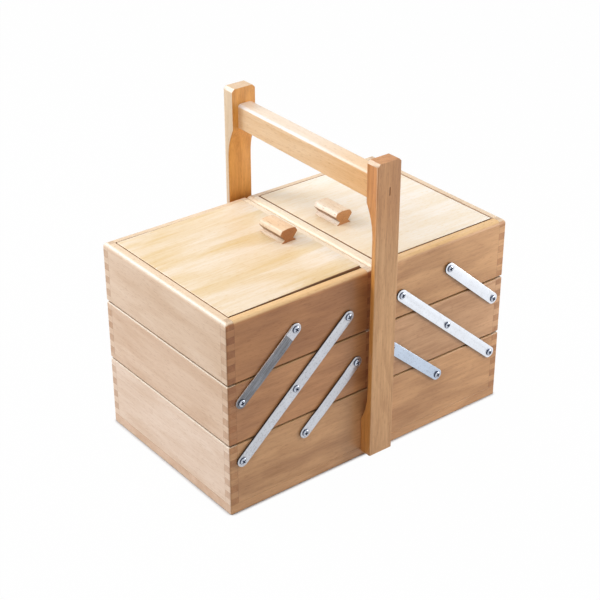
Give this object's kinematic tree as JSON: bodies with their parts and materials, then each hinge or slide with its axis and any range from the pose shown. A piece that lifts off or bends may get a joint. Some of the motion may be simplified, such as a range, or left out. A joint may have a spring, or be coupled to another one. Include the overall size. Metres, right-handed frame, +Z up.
{
  "type": "sewing box with trays",
  "caption": "Wooden cantilever sewing box: a bottom box with lidded trays on each half that swing outwards on steel straps, under a fixed carrying handle.",
  "frame": {"origin": "centre of the underside of the base board, on the surface the box stands on", "axes": "+X along the box towards the right-hand trays, +Y from the front upright to the back upright, +Z up"},
  "size_m": [0.402, 0.274, 0.3796],
  "materials": {
    "board_wood": "satin clear lacquer on steamed beech",
    "base_wood": "satin clear lacquer on beech",
    "handle_wood": "satin clear lacquer on beech",
    "lid_panel_wood": "satin clear lacquer on pale plywood",
    "pull_wood": "satin clear lacquer on a beech moulding",
    "tray_plywood": "bare birch plywood",
    "wedge_wood": "dark wood, end grain",
    "strap_steel": "bright zinc-plated strip",
    "screw_steel": "bright zinc-plated screws"
  },
  "bodies": {
    "base": {"base_board": "base_wood", "bottom_front_side": "board_wood", "bottom_back_side": "board_wood", "bottom_left_end": "board_wood", "bottom_right_end": "board_wood", "base_screws": "screw_steel", "bottom_pivot_screws": "screw_steel", "front_upright": "handle_wood", "back_upright": "handle_wood", "upright_screws": "screw_steel", "handle_bar": "handle_wood", "handle_wedges": "wedge_wood"},
    "left_long_straps": {"left_front_long_strap": "strap_steel", "left_back_long_strap": "strap_steel"},
    "left_lower_straps": {"left_front_lower_strap": "strap_steel", "left_back_lower_strap": "strap_steel"},
    "left_upper_straps": {"left_front_upper_strap": "strap_steel", "left_back_upper_strap": "strap_steel"},
    "left_middle_tray": {"left_middle_front_side": "board_wood", "left_middle_back_side": "board_wood", "left_middle_outer_end": "board_wood", "left_middle_inner_end": "board_wood", "left_middle_floor": "tray_plywood", "left_middle_divider": "board_wood", "left_middle_pivot_screws": "screw_steel"},
    "left_top_tray": {"left_top_front_side": "board_wood", "left_top_back_side": "board_wood", "left_top_outer_end": "board_wood", "left_top_inner_end": "board_wood", "left_top_floor": "tray_plywood", "left_top_divider": "board_wood", "left_top_pivot_screws": "screw_steel", "left_lid_rest": "board_wood", "left_lid_pins": "screw_steel"},
    "left_lid": {"left_lid_panel": "lid_panel_wood", "left_lid_pull": "pull_wood"},
    "right_long_straps": {"right_front_long_strap": "strap_steel", "right_back_long_strap": "strap_steel"},
    "right_lower_straps": {"right_front_lower_strap": "strap_steel", "right_back_lower_strap": "strap_steel"},
    "right_upper_straps": {"right_front_upper_strap": "strap_steel", "right_back_upper_strap": "strap_steel"},
    "right_middle_tray": {"right_middle_front_side": "board_wood", "right_middle_back_side": "board_wood", "right_middle_outer_end": "board_wood", "right_middle_inner_end": "board_wood", "right_middle_floor": "tray_plywood", "right_middle_divider": "board_wood", "right_middle_pivot_screws": "screw_steel"},
    "right_top_tray": {"right_top_front_side": "board_wood", "right_top_back_side": "board_wood", "right_top_outer_end": "board_wood", "right_top_inner_end": "board_wood", "right_top_floor": "tray_plywood", "right_top_divider": "board_wood", "right_top_pivot_screws": "screw_steel", "right_lid_rest": "board_wood", "right_lid_pins": "screw_steel"},
    "right_lid": {"right_lid_panel": "lid_panel_wood", "right_lid_pull": "pull_wood"}
  },
  "joints": [
    {"name": "left_trays_swing", "type": "hinge", "parent": "base", "child": "left_long_straps", "pos_m": [-0.185, 0, 0.067], "axis": [0, -1, 0], "range_deg": [0, 97.5]},
    {"name": "left_middle_tray_pivot", "type": "hinge", "parent": "left_long_straps", "child": "left_middle_tray", "pos_m": [-0.112, 0, 0.131], "axis": [0, -1, 0], "range_deg": [-97.5, 0]},
    {"name": "left_top_tray_pivot", "type": "hinge", "parent": "left_long_straps", "child": "left_top_tray", "pos_m": [-0.039, 0, 0.195], "axis": [0, -1, 0], "range_deg": [-97.5, 0]},
    {"name": "left_upper_straps_pivot", "type": "hinge", "parent": "left_middle_tray", "child": "left_upper_straps", "pos_m": [-0.185, 0, 0.1415], "axis": [0, -1, 0], "range_deg": [0, 97.5]},
    {"name": "left_lower_straps_pivot", "type": "hinge", "parent": "base", "child": "left_lower_straps", "pos_m": [-0.099, 0, 0.068], "axis": [0, -1, 0], "range_deg": [0, 97.5]},
    {"name": "left_lid_hinge", "type": "hinge", "parent": "left_top_tray", "child": "left_lid", "pos_m": [-0.1853, 0, 0.2371], "axis": [0, -1, 0], "range_deg": [0, 95]},
    {"name": "right_trays_swing", "type": "hinge", "parent": "base", "child": "right_long_straps", "pos_m": [0.185, 0, 0.067], "axis": [0, 1, 0], "range_deg": [0, 97.5]},
    {"name": "right_middle_tray_pivot", "type": "hinge", "parent": "right_long_straps", "child": "right_middle_tray", "pos_m": [0.112, 0, 0.131], "axis": [0, 1, 0], "range_deg": [-97.5, 0]},
    {"name": "right_top_tray_pivot", "type": "hinge", "parent": "right_long_straps", "child": "right_top_tray", "pos_m": [0.039, 0, 0.195], "axis": [0, 1, 0], "range_deg": [-97.5, 0]},
    {"name": "right_upper_straps_pivot", "type": "hinge", "parent": "right_middle_tray", "child": "right_upper_straps", "pos_m": [0.185, 0, 0.1415], "axis": [0, 1, 0], "range_deg": [0, 97.5]},
    {"name": "right_lower_straps_pivot", "type": "hinge", "parent": "base", "child": "right_lower_straps", "pos_m": [0.099, 0, 0.068], "axis": [0, 1, 0], "range_deg": [0, 97.5]},
    {"name": "right_lid_hinge", "type": "hinge", "parent": "right_top_tray", "child": "right_lid", "pos_m": [0.1853, 0, 0.2371], "axis": [0, 1, 0], "range_deg": [0, 95]}
  ],
  "couplings": [
    {"joint": "left_middle_tray_pivot", "follows": "left_trays_swing", "ratio": -1},
    {"joint": "left_top_tray_pivot", "follows": "left_trays_swing", "ratio": -1},
    {"joint": "left_upper_straps_pivot", "follows": "left_trays_swing", "ratio": 1},
    {"joint": "left_lower_straps_pivot", "follows": "left_trays_swing", "ratio": 1},
    {"joint": "right_middle_tray_pivot", "follows": "right_trays_swing", "ratio": -1},
    {"joint": "right_top_tray_pivot", "follows": "right_trays_swing", "ratio": -1},
    {"joint": "right_upper_straps_pivot", "follows": "right_trays_swing", "ratio": 1},
    {"joint": "right_lower_straps_pivot", "follows": "right_trays_swing", "ratio": 1}
  ]
}
